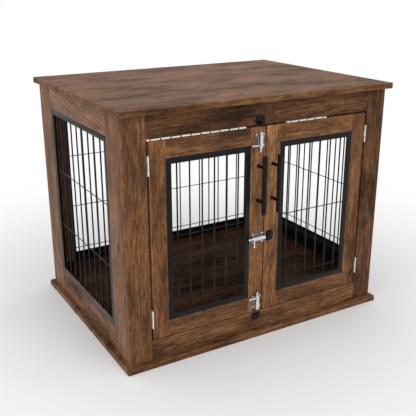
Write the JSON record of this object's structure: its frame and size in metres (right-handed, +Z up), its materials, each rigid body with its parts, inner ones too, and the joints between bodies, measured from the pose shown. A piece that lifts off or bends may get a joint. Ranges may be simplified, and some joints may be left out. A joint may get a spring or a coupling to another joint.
{
  "type": "dog crate end table",
  "caption": "Rustic timber dog crate end table with wire mesh walls, a pair of framed mesh doors in a lift-up front, bar handles and barrel bolts.",
  "frame": {"origin": "the middle of the base board's underside, below the middle of the cabinet's body", "axes": "+Z up, the doors face -Y, and +X is to the right of someone who faces the doors"},
  "size_m": [0.8, 0.622, 0.648],
  "materials": {
    "timber": "rustic brown wood grain with dark knots and worn streaks, satin",
    "inner_timber": "the same timber, hidden behind the doors",
    "black_steel": "black powder coat, low sheen",
    "white_zinc": "pale zinc plate",
    "bright_steel": "bright plated steel"
  },
  "bodies": {
    "cabinet": {"back_bottom_rail": "timber", "back_left_stile": "timber", "back_mesh_panel": "black_steel", "back_right_stile": "timber", "back_top_rail": "timber", "base_board": "timber", "bottom_bolt_keeper": "black_steel", "front_bottom_rail": "timber", "front_left_post": "timber", "front_right_post": "timber", "front_top_rail": "timber", "left_back_stile": "timber", "left_bottom_rail": "timber", "left_front_stile": "timber", "left_mesh_panel": "black_steel", "left_top_rail": "timber", "piano_hinge_left_fixed_leaf": "white_zinc", "piano_hinge_right_fixed_leaf": "white_zinc", "right_back_stile": "timber", "right_bottom_rail": "timber", "right_front_stile": "timber", "right_mesh_panel": "black_steel", "right_top_rail": "timber", "top_board": "timber", "top_bolt_keeper": "black_steel"},
    "lift_frame": {"left_lower_hinge_frame_leaf": "white_zinc", "left_upper_hinge_frame_leaf": "white_zinc", "lift_frame_bottom_bar": "inner_timber", "lift_frame_left_bar": "inner_timber", "lift_frame_right_bar": "inner_timber", "lift_frame_top_bar": "inner_timber", "piano_hinge_left_moving_leaf": "white_zinc", "piano_hinge_right_moving_leaf": "white_zinc", "right_lower_hinge_frame_leaf": "white_zinc", "right_upper_hinge_frame_leaf": "white_zinc"},
    "left_door": {"bottom_bolt_housing": "bright_steel", "left_door_bottom_rail": "timber", "left_door_handle": "black_steel", "left_door_hinge_stile": "timber", "left_door_meeting_stile": "timber", "left_door_mesh_panel": "black_steel", "left_door_top_rail": "timber", "left_lower_hinge_door_leaf": "white_zinc", "left_upper_hinge_door_leaf": "white_zinc", "middle_bolt_housing": "bright_steel", "top_bolt_housing": "bright_steel"},
    "right_door": {"middle_bolt_keeper": "black_steel", "right_door_bottom_rail": "timber", "right_door_handle": "black_steel", "right_door_hinge_stile": "timber", "right_door_meeting_stile": "timber", "right_door_mesh_panel": "black_steel", "right_door_top_rail": "timber", "right_lower_hinge_door_leaf": "white_zinc", "right_upper_hinge_door_leaf": "white_zinc"},
    "top_bolt_rod": {"top_bolt": "bright_steel"},
    "middle_bolt_rod": {"middle_bolt": "bright_steel"},
    "bottom_bolt_rod": {"bottom_bolt": "bright_steel"}
  },
  "joints": [
    {"name": "front_lift", "type": "hinge", "parent": "cabinet", "child": "lift_frame", "pos_m": [0, -0.2881, 0.575], "axis": [1, 0, 0], "range_deg": [-90, 0]},
    {"name": "left_door_swing", "type": "hinge", "parent": "lift_frame", "child": "left_door", "pos_m": [-0.324, -0.2881, 0.32], "axis": [0, 0, -1], "range_deg": [0, 110]},
    {"name": "right_door_swing", "type": "hinge", "parent": "lift_frame", "child": "right_door", "pos_m": [0.324, -0.2881, 0.32], "axis": [0, 0, 1], "range_deg": [0, 110]},
    {"name": "top_bolt_slide", "type": "slide", "parent": "left_door", "child": "top_bolt_rod", "axis": [0, 0, 1], "range_m": [0, 0.025]},
    {"name": "middle_bolt_slide", "type": "slide", "parent": "left_door", "child": "middle_bolt_rod", "axis": [1, 0, 0], "range_m": [0, 0.025]},
    {"name": "bottom_bolt_slide", "type": "slide", "parent": "left_door", "child": "bottom_bolt_rod", "axis": [0, 0, -1], "range_m": [0, 0.025]}
  ]
}
